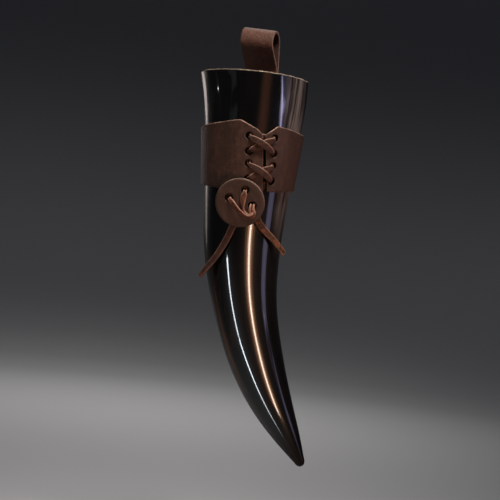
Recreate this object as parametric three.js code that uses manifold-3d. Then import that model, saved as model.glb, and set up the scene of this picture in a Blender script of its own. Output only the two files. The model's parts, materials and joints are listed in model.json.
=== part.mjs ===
// A polished drinking horn that hangs from a belt in a laced leather holder.
// Millimetres, +Z up. X runs along the belt and +Y points back at the wearer.
// Heights are measured from the middle of the horn's mouth, down the upright axis of the holder.
// Azimuths are in degrees, from the front (-Y) towards +X.
import * as THREE from 'three';
import { mergeVertices } from 'three/addons/utils/BufferGeometryUtils.js';
import Module from 'manifold-3d';

const wasm = await Module();
wasm.setup();

// Shared fits
const CLEARANCE = 0.3;
const LEATHER = 2.3;

// Horn: a straight mouth end, one even bend towards +X and a straight tip
const HORN_STRAIGHT = 101;
const HORN_BEND_RADIUS = 246;
const HORN_BEND_ANGLE = 33.5;
const HORN_TIP_RUN = 33;
const MOUTH_RADIUS = 38;
const MOUTH_SHIFT = 2.6;
const MOUTH_SHIFT_LENGTH = 32;
const LIP_WALL = 1.8;
const LIP_ROUND = 0.5;
const HORN_WALL = 3;
const BORE_DEPTH = 200;
const BORE_END_SHARE = 0.3;
const TIP_RADIUS = 3.8;
const TIP_ROUND = 4.6;
// Outer radius at these distances along the horn, between the mouth and the tip
const HORN_GIRTH = [
  [35, 34.1], [80, 29.95], [120, 26.8], [160, 22.4], [200, 18.85], [230, 14.4], [255, 9],
];
const HORN_SIDES = 40;

// Holder band: a leather wrap with a laced opening at the front
const BAND_TOP = -37.8;
const BAND_BOTTOM = -77.4;
const PEAK_AZIMUTH = { left: 5.5, right: 43 };
const PEAK_RISE = { left: 4.3, right: 2.3 };
const PEAK_SPREAD = 78;
const SHOULDER_ANGLE = 5;
const SHOULDER_DROP = { left: 5.5, right: 4.5 };
const NOTCH_DROP = { left: 8.8, right: 6.8 };
const BAND_DROOP = { left: 4.4, right: 2.8 };
const DROOP_SPREAD = { left: 150, right: 55 };
const GAP_AZIMUTH_TOP = 28.3;
const GAP_AZIMUTH_BOTTOM = 37.5;
const GAP_TOP = 1.4;
const GAP_BOTTOM = 2.8;
const EDGE_ROUND = 0.4;

// Lace: one flat thong through four rows of holes
const LACE_WIDTH = 5;
const LACE_THICKNESS = 1.4;
const LACE_EDGE = 0.4;
const LACE_PINCH = 2.9;
const LACE_HOLE = 5;
const LACE_CROSSES = 2;
const CROSS_HEIGHT = 10.4;
const CROSS_PITCH = 18.4;
const FIRST_ROW = -43.9;
const LACING_AZIMUTH = 28;
const LACING_SLANT = 1;
const LACING_HALF_ANGLE = 13.8;
const LACE_SLACK = 0.6;
const CROSSING_GAP = 0.45;
const STAND_OFF_INNER = 24;
const STAND_OFF_OUTER = 50;

// Lace lock: a leather disc with three holes that grips the lace
const LOCK_RADIUS = 16.7;
const LOCK_THICKNESS = 3;
const LOCK_ROUND = 0.8;
const LOCK_AZIMUTH = 11.4;
const LOCK_HEIGHT = -89.3;
const LOCK_REACH = 36.2;
const LOCK_TILT = 13;
const LOCK_HOLE = 5.6;
// Each hole's distance from the middle of the disc, and its angle
const LOCK_HOLES = { left: [8.2, 159], top: [9.6, 72], right: [8.5, -7] };

// Belt loop: a strap folded into a teardrop and riveted to the back of the band
const STRAP_WIDTH = 25;
const STRAP_AZIMUTH = 197;
const STRAP_END = -75;
const STRAP_GAP = 0.4;
const LOOP_CLOSE = 12;
const LOOP_HEIGHT = 32;
const LOOP_DEPTH = 21;
const LOOP_REACH = 50;
const LOOP_SIDE = 16.7;
const LOOP_SET_BACK = 6.5;
const LOOP_LEAN = 1.4;
const LOOP_TILT = 4.5;
const RIVET_HEIGHTS = { upper: -50, lower: -68 };
const RIVET_SHAFT = 3.2;
const RIVET_HEAD = 8;
const RIVET_HEAD_THICKNESS = 0.9;
const RIVET_CAP = 9;
const RIVET_CAP_RISE = 2;

const rad = THREE.MathUtils.degToRad;
const lerp = THREE.MathUtils.lerp;
const smoothstep = THREE.MathUtils.smoothstep;
const vec = (x, y, z) => new THREE.Vector3(x, y, z);
const radial = (azimuth) => vec(Math.sin(rad(azimuth)), -Math.cos(rad(azimuth)), 0);
const UP = vec(0, 0, 1);

// Geometry helpers

function solidOf(geometry) {
  const bare = geometry.index ? geometry.toNonIndexed() : geometry.clone();
  bare.deleteAttribute('normal');
  bare.deleteAttribute('uv');
  const merged = mergeVertices(bare, 1e-4);
  const mesh = new wasm.Mesh({
    numProp: 3,
    vertProperties: new Float32Array(merged.attributes.position.array),
    triVerts: new Uint32Array(merged.index.array),
  });
  return new wasm.Manifold(mesh);
}

function geometryOf(solid) {
  const mesh = solid.getMesh();
  const geometry = new THREE.BufferGeometry();
  geometry.setAttribute('position', new THREE.BufferAttribute(new Float32Array(mesh.vertProperties), 3));
  geometry.setIndex(new THREE.BufferAttribute(new Uint32Array(mesh.triVerts), 1));
  return geometry;
}

function cut(geometry, cutters) {
  let solid = solidOf(geometry);
  for (const cutter of cutters) {
    solid = solid.subtract(solidOf(cutter));
  }
  return geometryOf(solid);
}

// A skin over rings of equal point counts; each end is closed by a fan about its middle.
function loft(rings) {
  const count = rings[0].length;
  const positions = [];
  const index = [];
  for (const ring of rings) {
    for (const p of ring) {
      positions.push(p.x, p.y, p.z);
    }
  }
  for (let i = 0; i + 1 < rings.length; i += 1) {
    for (let j = 0; j < count; j += 1) {
      const a = i * count + j;
      const b = i * count + ((j + 1) % count);
      index.push(a, b, b + count, a, b + count, a + count);
    }
  }
  for (const end of [0, rings.length - 1]) {
    const middle = vec(0, 0, 0);
    rings[end].forEach((p) => middle.add(p));
    middle.divideScalar(count);
    positions.push(middle.x, middle.y, middle.z);
    const hub = positions.length / 3 - 1;
    for (let j = 0; j < count; j += 1) {
      const a = end * count + j;
      const b = end * count + ((j + 1) % count);
      index.push(...(end === 0 ? [hub, b, a] : [hub, a, b]));
    }
  }
  const geometry = new THREE.BufferGeometry();
  geometry.setAttribute('position', new THREE.Float32BufferAttribute(positions, 3));
  geometry.setIndex(index);
  return geometry;
}

// A flat thong along stations of { at, across, width }, with slightly bevelled edges.
function thong(stations, thickness, edge, steps) {
  const curve = new THREE.CatmullRomCurve3(stations.map((s) => s.at), false, 'centripetal');
  const spans = stations.length - 1;
  const rings = [];
  for (let k = 0; k <= spans * steps; k += 1) {
    const i = Math.min(Math.floor(k / steps), spans - 1);
    const f = k / steps - i;
    const t = k / (spans * steps);
    const along = curve.getTangent(t);
    const across = stations[i].across.clone().lerp(stations[i + 1].across, f);
    across.addScaledVector(along, -across.dot(along)).normalize();
    const normal = along.clone().cross(across);
    const half = lerp(stations[i].width, stations[i + 1].width, f) / 2;
    const outline = [
      [half, 0], [half - edge, thickness / 2], [edge - half, thickness / 2],
      [-half, 0], [edge - half, -thickness / 2], [half - edge, -thickness / 2],
    ];
    const at = curve.getPoint(t);
    rings.push(outline.map(([a, n]) => at.clone().addScaledVector(across, a).addScaledVector(normal, n)));
  }
  return loft(rings);
}

// A round cutter or shaft whose axis runs along a direction
function rod(middle, direction, radius, length, sides = 20) {
  const geometry = new THREE.CylinderGeometry(radius, radius, length, sides);
  geometry.applyQuaternion(new THREE.Quaternion().setFromUnitVectors(vec(0, 1, 0), direction));
  return geometry.translate(middle.x, middle.y, middle.z);
}

// A turned profile of [radius, height] points, its axis laid along a direction
function turned(profile, base, direction, sides = 24) {
  const geometry = new THREE.LatheGeometry(profile.map(([r, h]) => new THREE.Vector2(r, h)), sides);
  geometry.applyQuaternion(new THREE.Quaternion().setFromUnitVectors(vec(0, 1, 0), direction));
  return geometry.translate(base.x, base.y, base.z);
}

// Horn

const bendLength = HORN_BEND_RADIUS * rad(HORN_BEND_ANGLE);
const hornLength = HORN_STRAIGHT + bendLength + HORN_TIP_RUN;
const girth = [[0, MOUTH_RADIUS], ...HORN_GIRTH, [hornLength - TIP_ROUND, TIP_RADIUS]];

// Outer radius at a distance along the horn, by smooth interpolation of the girth stations
function hornRadius(distance) {
  const s = Math.min(Math.max(distance, 0), hornLength - TIP_ROUND);
  let i = 0;
  while (i < girth.length - 2 && s > girth[i + 1][0]) {
    i += 1;
  }
  const slope = (k) => {
    const a = girth[Math.max(k - 1, 0)];
    const b = girth[Math.min(k + 1, girth.length - 1)];
    return (b[1] - a[1]) / (b[0] - a[0]);
  };
  const span = girth[i + 1][0] - girth[i][0];
  const t = (s - girth[i][0]) / span;
  const from = (1 + 2 * t) * (1 - t) ** 2 * girth[i][1] + t * (1 - t) ** 2 * span * slope(i);
  return from + t * t * (3 - 2 * t) * girth[i + 1][1] + t * t * (t - 1) * span * slope(i + 1);
}

// Middle of the horn and its downward direction at a distance from the mouth
function hornSpine(distance) {
  if (distance <= HORN_STRAIGHT) {
    const f = Math.max(0, 1 - distance / MOUTH_SHIFT_LENGTH);
    return { at: vec(-MOUTH_SHIFT * f * f, 0, -distance), along: vec(0, 0, -1) };
  }
  const turn = Math.min((distance - HORN_STRAIGHT) / HORN_BEND_RADIUS, rad(HORN_BEND_ANGLE));
  const past = Math.max(0, distance - HORN_STRAIGHT - bendLength);
  const x = HORN_BEND_RADIUS * (1 - Math.cos(turn)) + past * Math.sin(turn);
  const z = -HORN_STRAIGHT - HORN_BEND_RADIUS * Math.sin(turn) - past * Math.cos(turn);
  return { at: vec(x, 0, z), along: vec(Math.sin(turn), 0, -Math.cos(turn)) };
}

function hornRing(distance, radius) {
  const { at, along } = hornSpine(distance);
  const side = vec(-along.z, 0, along.x);
  const ring = [];
  for (let j = 0; j < HORN_SIDES; j += 1) {
    const a = (2 * Math.PI * j) / HORN_SIDES;
    ring.push(at.clone().addScaledVector(side, radius * Math.cos(a)).add(vec(0, radius * Math.sin(a), 0)));
  }
  return ring;
}

function makeHorn() {
  const rings = [];
  const lipEnds = [3 * LIP_ROUND, LIP_ROUND];
  const steps = (count, from, to) => Array.from({ length: count }, (_, k) => lerp(from, to, k / count));
  const outerEnd = hornLength - TIP_ROUND;
  for (const s of [...steps(15, BORE_DEPTH, 0), ...lipEnds]) {
    const wall = lerp(LIP_WALL, HORN_WALL, smoothstep(s, 0, HORN_STRAIGHT));
    const closing = lerp(BORE_END_SHARE, 1, Math.min(1, (BORE_DEPTH - s) / (4 * HORN_WALL)));
    rings.push(hornRing(s, (hornRadius(s) - wall) * closing));
  }
  for (const [side, a] of [[-1, 45], [-1, 90], [1, 90], [1, 45]]) {
    const fromMiddle = LIP_WALL / 2 - LIP_ROUND * (1 - Math.cos(rad(a)));
    const radius = hornRadius(0) - LIP_WALL / 2 + side * fromMiddle;
    rings.push(hornRing(LIP_ROUND * (1 - Math.sin(rad(a))), radius));
  }
  for (const s of [...lipEnds.reverse(), ...steps(33, outerEnd, 0).reverse()]) {
    rings.push(hornRing(s, hornRadius(s)));
  }
  for (const a of [25, 50, 70]) {
    rings.push(hornRing(outerEnd + TIP_ROUND * Math.sin(rad(a)), TIP_RADIUS * Math.cos(rad(a))));
  }
  return loft(rings.reverse());
}

// Holder band

const laceRoom = LACE_THICKNESS + LACE_SLACK;

// How far the leather stands off the horn, to leave room for the lace inside the front
function standOff(azimuth) {
  const away = Math.abs(THREE.MathUtils.euclideanModulo(azimuth - LACING_AZIMUTH + 180, 360) - 180);
  return laceRoom * (1 - smoothstep(away, STAND_OFF_INNER, STAND_OFF_OUTER));
}

const bandInner = (azimuth, z) => hornRadius(-z) + CLEARANCE + standOff(azimuth);
const bandMiddle = (azimuth, z) => bandInner(azimuth, z) + LEATHER / 2;
const bandOuter = (azimuth, z) => bandInner(azimuth, z) + LEATHER;

// A point over the band: lift is measured outwards from the middle of the leather
function overBand(azimuth, z, lift) {
  const p = radial(azimuth).multiplyScalar(bandMiddle(azimuth, z) + lift);
  p.z = z;
  return p;
}

function gapEdge(side, z) {
  const f = (z - BAND_BOTTOM) / (BAND_TOP - BAND_BOTTOM);
  const half = lerp(GAP_BOTTOM, GAP_TOP, f) / 2 / bandMiddle(LACING_AZIMUTH, z);
  return lerp(GAP_AZIMUTH_BOTTOM, GAP_AZIMUTH_TOP, f) + side * THREE.MathUtils.radToDeg(half);
}

// Angle from the notch to the peak of each flap
const peakAway = {
  left: GAP_AZIMUTH_TOP - PEAK_AZIMUTH.left,
  right: PEAK_AZIMUTH.right - GAP_AZIMUTH_TOP,
};

// Top edge of a flap: level behind, up to a peak, down a shoulder into the notch
function bandTop(away, flap) {
  const crest = BAND_TOP + PEAK_RISE[flap];
  const shoulder = crest - SHOULDER_DROP[flap];
  const peak = peakAway[flap];
  if (away >= peak) {
    const share = Math.min(1, (away - peak) / PEAK_SPREAD);
    return lerp(crest, BAND_TOP, Math.sin((share * Math.PI) / 2));
  }
  if (away >= SHOULDER_ANGLE) {
    return lerp(shoulder, crest, (away - SHOULDER_ANGLE) / (peak - SHOULDER_ANGLE));
  }
  return lerp(crest - NOTCH_DROP[flap], shoulder, away / SHOULDER_ANGLE);
}

// Bottom edge of a flap: level behind, drooping towards the gap
function bandBottom(away, flap) {
  const share = Math.min(1, away / DROOP_SPREAD[flap]);
  return BAND_BOTTOM - (BAND_DROOP[flap] * (1 + Math.cos(share * Math.PI))) / 2;
}

function makeBand() {
  const rows = 5;
  const wrap = 360;
  // Angles away from the gap, to the right of it round to the left, with a column at each corner
  const columns = [0, SHOULDER_ANGLE, lerp(SHOULDER_ANGLE, peakAway.right, 0.5), peakAway.right];
  const middle = 54;
  for (let k = 1; k < middle; k += 1) {
    columns.push(lerp(peakAway.right, wrap - peakAway.left, k / middle));
  }
  for (const f of [0, 0.25, 0.5, 0.75, 1]) {
    columns.push(wrap - lerp(peakAway.left, SHOULDER_ANGLE, f));
  }
  columns.push(wrap);
  const rings = columns.map((turn) => {
    const flap = turn < wrap / 2 ? 'right' : 'left';
    const away = Math.min(turn, wrap - turn);
    const top = bandTop(away, flap);
    const bottom = bandBottom(away, flap);
    const azimuthAt = (z) => {
      const right = gapEdge(1, z);
      const left = gapEdge(-1, z) + wrap;
      return lerp(right, left, turn / wrap);
    };
    const point = (z, lift) => overBand(azimuthAt(z), z, lift);
    const inside = [];
    const outside = [];
    for (let i = 0; i <= rows; i += 1) {
      const z = lerp(bottom + EDGE_ROUND, top - EDGE_ROUND, i / rows);
      inside.push(point(z, -LEATHER / 2));
      outside.push(point(z, LEATHER / 2));
    }
    return [...inside, point(top, 0), ...outside.reverse(), point(bottom, 0)];
  });
  const holes = [];
  for (const hole of [...leftHoles, ...rightHoles]) {
    holes.push(rod(hole.at, hole.out, LACE_HOLE / 2, LEATHER * 4, 16));
  }
  for (const height of Object.values(RIVET_HEIGHTS)) {
    const seat = rivetSeat(height);
    holes.push(rod(seat.at, seat.out, RIVET_SHAFT / 2 + CLEARANCE, LEATHER * 8, 16));
    const recess = RIVET_HEAD_THICKNESS + 2 * CLEARANCE;
    const sunk = seat.at.clone().addScaledVector(seat.out, recess / 2 - LEATHER);
    holes.push(rod(sunk, seat.out, RIVET_HEAD / 2 + CLEARANCE, recess + LEATHER, 24));
  }
  return cut(loft(rings), holes);
}

// Lace

// Direction square to the band's tapered face
function bandOut(azimuth, z) {
  const slope = (bandMiddle(azimuth, z + 1) - bandMiddle(azimuth, z - 1)) / 2;
  return radial(azimuth).addScaledVector(UP, -slope).normalize();
}

// Two rows of holes to each cross of the lace
function laceHoles(side) {
  const holes = [];
  for (let row = 0; row < 2 * LACE_CROSSES; row += 1) {
    const z = FIRST_ROW - Math.floor(row / 2) * CROSS_PITCH - (row % 2) * CROSS_HEIGHT;
    const azimuth = LACING_AZIMUTH + row * LACING_SLANT + side * LACING_HALF_ANGLE;
    holes.push({ azimuth, z, at: overBand(azimuth, z, 0), out: bandOut(azimuth, z) });
  }
  return holes;
}

const leftHoles = laceHoles(-1);
const rightHoles = laceHoles(1);

const overLift = LEATHER / 2 + CLEARANCE + LACE_THICKNESS / 2;
const underLift = LEATHER / 2 + (laceRoom + CLEARANCE) / 2;

function directionIn(out, from, to) {
  const d = to.clone().sub(from);
  return d.addScaledVector(out, -d.dot(out)).normalize();
}

// Stations of a thong that turns over the edge of a hole, from flat on the face down to the hole.
// frame is { at, out }, heading points along the face and lift is the thong's height there.
function overEdge(frame, heading, face, lift, radius) {
  const across = frame.out.clone().cross(heading).normalize();
  const reach = radius - LACE_THICKNESS / 2;
  const stations = [];
  const flat = (LACE_WIDTH + LACE_PINCH) / 2;
  for (const [a, width] of [[90, flat], [45, LACE_PINCH], [5, LACE_PINCH]]) {
    const side = radius - reach * Math.cos(rad(a));
    const height = Math.sign(lift) * (face + (Math.abs(lift) - face) * Math.sin(rad(a)));
    const at = frame.at.clone().addScaledVector(heading, side).addScaledVector(frame.out, height);
    stations.push({ at, across: across.clone(), width });
  }
  return stations;
}

// One strip of lace over or under the leather, from hole to hole, bowed by a rise in the middle
function laceStrip(from, to, lift, rise) {
  const stations = [];
  for (const f of [0.35, 0.5, 0.65]) {
    const azimuth = lerp(from.azimuth, to.azimuth, f);
    const z = lerp(from.z, to.z, f);
    const bow = rise * Math.sin(Math.PI * f) ** 2;
    const at = overBand(azimuth, z, lift + Math.sign(lift) * bow);
    const heading = directionIn(radial(azimuth), from.at, to.at);
    stations.push({ at, across: radial(azimuth).cross(heading), width: LACE_WIDTH });
  }
  return stations;
}

// The whole laced run: holes in the order the thong meets them, and which face it crosses next
function makeLace() {
  const L = leftHoles;
  const R = rightHoles;
  const last = 2 * LACE_CROSSES - 1;
  const over = LACE_THICKNESS + CROSSING_GAP;
  const runs = [];
  for (let row = last; row > 1; row -= 2) {
    runs.push({ from: L[row], to: R[row - 1], lift: overLift, rise: 0 });
    runs.push({ from: R[row - 1], to: R[row - 2], lift: -underLift, rise: 0 });
  }
  runs.push({ from: R[1], to: L[0], lift: overLift, rise: over });
  runs.push({ from: L[0], to: R[0], lift: -underLift, rise: 0 });
  runs.push({ from: R[0], to: L[1], lift: overLift, rise: 0 });
  for (let row = 1; row < last; row += 2) {
    runs.push({ from: L[row], to: L[row + 1], lift: -underLift, rise: 0 });
    runs.push({ from: L[row + 1], to: R[row + 2], lift: overLift, rise: over });
  }
  const stations = [];
  stations.push(...dropRun(L[last], lockHole('left')).reverse());
  for (const { from, to, lift, rise } of runs) {
    const leave = directionIn(from.out, from.at, to.at);
    const arrive = directionIn(to.out, to.at, from.at);
    const start = overEdge(from, leave, LEATHER / 2, lift, LACE_HOLE / 2).reverse();
    const end = overEdge(to, arrive, LEATHER / 2, lift, LACE_HOLE / 2);
    stations.push(...start, ...laceStrip(from, to, lift, rise), ...end);
  }
  stations.push(...dropRun(R[last], lockHole('top')));
  untwist(stations);
  return thong(stations, LACE_THICKNESS, LACE_EDGE, 2);
}

// Keeps each station's across direction on the same side as the one before it
function untwist(stations) {
  for (let i = 1; i < stations.length; i += 1) {
    if (stations[i].across.dot(stations[i - 1].across) < 0) {
      stations[i].across = stations[i].across.clone().negate();
    }
  }
}

// From the last hole down inside the band, out under its edge, to lie flat behind a hole of the lock
function dropRun(hole, target) {
  const bottom = BAND_BOTTOM - Math.max(BAND_DROOP.left, BAND_DROOP.right);
  const behind = -lockFlat - CLEARANCE;
  const end = onLock(target.u, target.v, behind);
  const endAzimuth = THREE.MathUtils.radToDeg(Math.atan2(end.x, -end.y));
  const below = bottom - CLEARANCE - LACE_THICKNESS;
  const azimuthAt = (f) => lerp(hole.azimuth, endAzimuth, 0.75 * f);
  const inside = (f) => overBand(azimuthAt(f), lerp(hole.z, below, f), -underLift);
  const acrossAt = (f) => {
    const out = radial(azimuthAt(f));
    return out.clone().cross(directionIn(out, inside(f - 0.1), inside(f + 0.1)));
  };
  const leave = inside(1);
  const heading = directionIn(hole.out, hole.at, leave);
  const edge = overEdge(hole, heading, LEATHER / 2, -underLift, LACE_HOLE / 2).reverse();
  const dip = Math.max(0, end.z - below) + LACE_THICKNESS / 2;
  const rise = onLock(target.u, target.v - dip, behind);
  const turn = leave.clone().lerp(rise, 0.5);
  turn.z = Math.min(turn.z, below);
  const flat = lockFrame.right.clone();
  return [
    ...edge,
    { at: inside(0.5), across: acrossAt(0.5), width: LACE_WIDTH },
    { at: inside(0.75), across: acrossAt(0.75), width: LACE_WIDTH },
    { at: leave, across: acrossAt(1), width: LACE_WIDTH },
    { at: turn, across: flat, width: LACE_WIDTH },
    { at: rise, across: flat, width: LACE_WIDTH },
    { at: end, across: flat, width: LACE_WIDTH },
    { at: onLock(target.u, target.v + LACE_WIDTH / 2, behind), across: flat, width: LACE_WIDTH },
  ];
}

// Lace lock

const lockFrame = (() => {
  const flat = radial(LOCK_AZIMUTH);
  const out = flat.clone().addScaledVector(UP, -Math.tan(rad(LOCK_TILT))).normalize();
  const right = UP.clone().cross(out).normalize();
  const at = flat.multiplyScalar(LOCK_REACH);
  at.z = LOCK_HEIGHT;
  return { at, out, right, up: out.clone().cross(right) };
})();

// A point over the lock's face: u to the right, v up, h out of the leather's middle
function onLock(u, v, h) {
  const p = lockFrame.at.clone().addScaledVector(lockFrame.right, u);
  return p.addScaledVector(lockFrame.up, v).addScaledVector(lockFrame.out, h);
}

function lockHole(name) {
  const [distance, angle] = LOCK_HOLES[name];
  return { u: distance * Math.cos(rad(angle)), v: distance * Math.sin(rad(angle)) };
}

function makeLock() {
  const half = LOCK_THICKNESS / 2;
  const profile = [
    [0, -half], [LOCK_RADIUS - LOCK_ROUND, -half], [LOCK_RADIUS, LOCK_ROUND - half],
    [LOCK_RADIUS, half - LOCK_ROUND], [LOCK_RADIUS - LOCK_ROUND, half], [0, half],
  ];
  const holes = Object.keys(LOCK_HOLES).map((name) => {
    const { u, v } = lockHole(name);
    return rod(onLock(u, v, 0), lockFrame.out, LOCK_HOLE / 2, LOCK_THICKNESS * 3);
  });
  return cut(turned(profile, lockFrame.at, lockFrame.out, 48), holes);
}

// Stations of a lace on the lock, from rows of [u, v, h, width, tilt, heading u, heading v].
// Tilt stands the lace on edge: at 0 it lies flat, at 90 its width points out of the leather.
function lockStations(rows) {
  return rows.map(([u, v, h, width, tilt, du, dv]) => {
    const heading = onLock(du, dv, 0).sub(lockFrame.at).normalize();
    const across = lockFrame.out.clone().cross(heading).multiplyScalar(Math.cos(rad(tilt)));
    across.addScaledVector(lockFrame.out, Math.sin(rad(tilt)));
    return { at: onLock(u, v, h), across, width };
  });
}

const lockFace = LOCK_THICKNESS / 2;
const lockFlat = lockFace + CLEARANCE + LACE_THICKNESS / 2;
const lockBack = lockFlat + CLEARANCE / 2;

// Start of a lace that comes out of a hole of the lock and turns over its edge
function outOfHole(name, du, dv) {
  const { u, v } = lockHole(name);
  const frame = { at: onLock(u, v, 0), out: lockFrame.out };
  const heading = onLock(du, dv, 0).sub(lockFrame.at).normalize();
  const edge = overEdge(frame, heading, lockFace, lockFlat, LOCK_HOLE / 2).reverse();
  const depth = LOCK_THICKNESS - CLEARANCE;
  const inHole = { ...edge[0], at: edge[0].at.clone().addScaledVector(lockFrame.out, -depth) };
  return [inHole, ...edge];
}

// Where the two tails start behind the lock
const tailStart = {
  left: { u: 0.055 * LOCK_RADIUS, v: -0.595 * LOCK_RADIUS },
  right: { u: 0.73 * LOCK_RADIUS, v: -0.575 * LOCK_RADIUS },
};
const tailGap = CLEARANCE + 0.1;

// The lace from the left hole: down across the disc on its edge, round a bend and up into the right hole
function makeLeftLockLace() {
  const r = LOCK_RADIUS;
  const t = LACE_THICKNESS;
  const w = LACE_WIDTH;
  const d = LOCK_HOLE;
  const hole = lockHole('right');
  const tail = tailStart.right;
  const stations = [
    ...outOfHole('left', 0.68, -0.73),
    ...lockStations([
      [-0.26 * r, 0, lockFlat + 0.65 * t, 0.72 * w, 25, 0.68, -0.73],
      [-0.08 * r, -0.19 * r, lockFlat + 1.35 * t, 0.88 * w, 45, 0.7, -0.71],
      [0.13 * r, -0.375 * r, lockFlat + 1.5 * t, 0.88 * w, 45, 0.78, -0.62],
      [0.315 * r, -0.49 * r, lockFlat + 1.5 * t, 0.88 * w, 45, 0.93, -0.36],
      [0.465 * r, -0.51 * r, lockFlat + 1.5 * t, 0.88 * w, 45, 0.95, 0.3],
      [0.59 * r, -0.42 * r, lockFlat + 1.35 * t, 0.84 * w, 40, 0.5, 0.87],
      [0.62 * r, -0.31 * r, lockFlat + 0.7 * t, 0.54 * w, 20, -0.1, 1],
      [hole.u + 0.22 * d, hole.v - 0.5 * d, lockFlat + 0.45 * t, 0.44 * w, 0, -0.1, 1],
      [hole.u + 0.19 * d, hole.v + 0.06 * d, lockFace, 0.34 * w, 0, 0, 1],
      [hole.u + 0.19 * d, hole.v + 0.12 * d, 0, 0.34 * w, 0, 0, 1],
      [hole.u + 0.19 * d, hole.v + 0.04 * d, -lockFace, 0.34 * w, 0, 0, 1],
      [hole.u + 0.24 * d, hole.v - 0.5 * d, -lockFlat - 0.2 * t, 0.48 * w, 0, 0, 1],
      [hole.u + 0.49 * d, hole.v - 0.96 * d, -lockBack, 0.9 * w, 0, -0.3, 1],
      [tail.u - 0.25 * tailGap, tail.v + tailGap, -lockBack, w, 0, -0.25, 1],
    ]),
  ];
  untwist(stations);
  return thong(stations, LACE_THICKNESS, LACE_EDGE, 3);
}

// The lace from the top hole: down the disc, twisting on edge under the other lace, then into the right hole
function makeTopLockLace() {
  const r = LOCK_RADIUS;
  const t = LACE_THICKNESS;
  const w = LACE_WIDTH;
  const d = LOCK_HOLE;
  const hole = lockHole('right');
  const tail = tailStart.left;
  const stations = [
    ...outOfHole('top', -0.05, -1),
    ...lockStations([
      [0.145 * r, 0.3 * r, lockFlat, 0.92 * w, 0, -0.05, -1],
      [0.125 * r, 0.14 * r, lockFlat + 0.15 * t, 0.9 * w, 8, 0, -1],
      [0.14 * r, -0.05 * r, lockFlat + 0.4 * t, 0.68 * w, 28, 0.1, -1],
      [0.16 * r, -0.2 * r, lockFlat + 0.6 * t, 0.5 * w, 48, 0.25, -0.97],
      [0.205 * r, -0.31 * r, lockFlat + 0.6 * t, 0.48 * w, 45, 0.75, -0.66],
      [0.345 * r, -0.42 * r, lockFlat + 0.62 * t, 0.48 * w, 45, 0.93, -0.36],
      [0.445 * r, -0.437 * r, lockFlat + 0.62 * t, 0.48 * w, 45, 0.95, 0.3],
      [0.5 * r, -0.39 * r, lockFlat + 0.5 * t, 0.46 * w, 40, 0.3, 0.95],
      [0.44 * r, -0.3 * r, lockFlat + 0.35 * t, 0.42 * w, 15, 0, 1],
      [hole.u - 0.21 * d, hole.v - 0.5 * d, lockFlat + 0.4 * t, 0.4 * w, 0, 0, 1],
      [hole.u - 0.19 * d, hole.v + 0.06 * d, lockFace, 0.34 * w, 0, 0, 1],
      [hole.u - 0.19 * d, hole.v + 0.12 * d, 0, 0.34 * w, 0, 0, 1],
      [hole.u - 0.19 * d, hole.v + 0.04 * d, -lockFace, 0.34 * w, 0, 0, 1],
      [hole.u - 0.28 * d, hole.v - 0.5 * d, -lockFlat - 0.2 * t, 0.48 * w, 0, 0.2, 1],
      [hole.u - 0.96 * d, hole.v - 1 * d, -lockBack, 0.9 * w, 0, 0.6, 0.8],
      [tail.u + 0.6 * tailGap, tail.v + 0.8 * tailGap, -lockBack, w, 0, 0.6, 0.8],
    ]),
  ];
  untwist(stations);
  return thong(stations, LACE_THICKNESS, LACE_EDGE, 3);
}

// Lace tails: routes of the two free ends, from behind the lock, over the horn and off it
const behindLock = (u, v) => onLock(u * LOCK_RADIUS, v * LOCK_RADIUS, -lockBack);
const tailLeftRoute = [
  onLock(tailStart.left.u, tailStart.left.v, -lockBack), behindLock(-0.096, -0.83), behindLock(-0.25, -1.05),
  vec(-0.8, -29.6, -112.6), vec(-4.3, -28.9, -119.6), vec(-8.5, -27.7, -126.6),
  vec(-13.7, -25.9, -133.2), vec(-20.6, -22.9, -141.4),
];
const tailRightRoute = [
  onLock(tailStart.right.u, tailStart.right.v, -lockBack), behindLock(0.78, -0.735),
  vec(21.8, -21.2, -106), vec(26.4, -15.3, -111), vec(30, -10.4, -115.8), vec(33, -5.8, -120.6),
];

// A flat tail whose face follows the horn's roundness
function makeTail(route, onDisc) {
  const curve = new THREE.CatmullRomCurve3(route, false, 'centripetal');
  const stations = route.map((at, i) => {
    const along = curve.getTangent(i / (route.length - 1));
    const out = i < onDisc ? lockFrame.out.clone() : vec(at.x, at.y, 0).normalize();
    return { at, across: out.cross(along).normalize(), width: LACE_WIDTH };
  });
  return thong(stations, LACE_THICKNESS, LACE_EDGE, 3);
}

// Belt loop

// Line up the back of the band that the strap lies along, and the slope of that line
const strapLow = bandOuter(STRAP_AZIMUTH, STRAP_END);
const strapSlope = (bandOuter(STRAP_AZIMUTH, BAND_TOP) - strapLow) / (BAND_TOP - STRAP_END);
const strapStack = CLEARANCE + LEATHER + STRAP_GAP / 2;
const strapOff = BAND_TOP - 6;
const legOffset = (LEATHER + STRAP_GAP) / 2;
const loopOffset = (LOOP_DEPTH - LEATHER) / 2;
const loopTop = LOOP_CLOSE + LOOP_HEIGHT;
const loopCrown = loopTop - LEATHER / 2 - loopOffset;

// Where the belt bears and, behind and below it, where the legs of the loop close
const loopMiddle = vec(-LOOP_SIDE, LOOP_REACH, 0);
const loopClosing = loopMiddle.clone().add(vec(LOOP_LEAN, LOOP_SET_BACK, 0));

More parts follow.
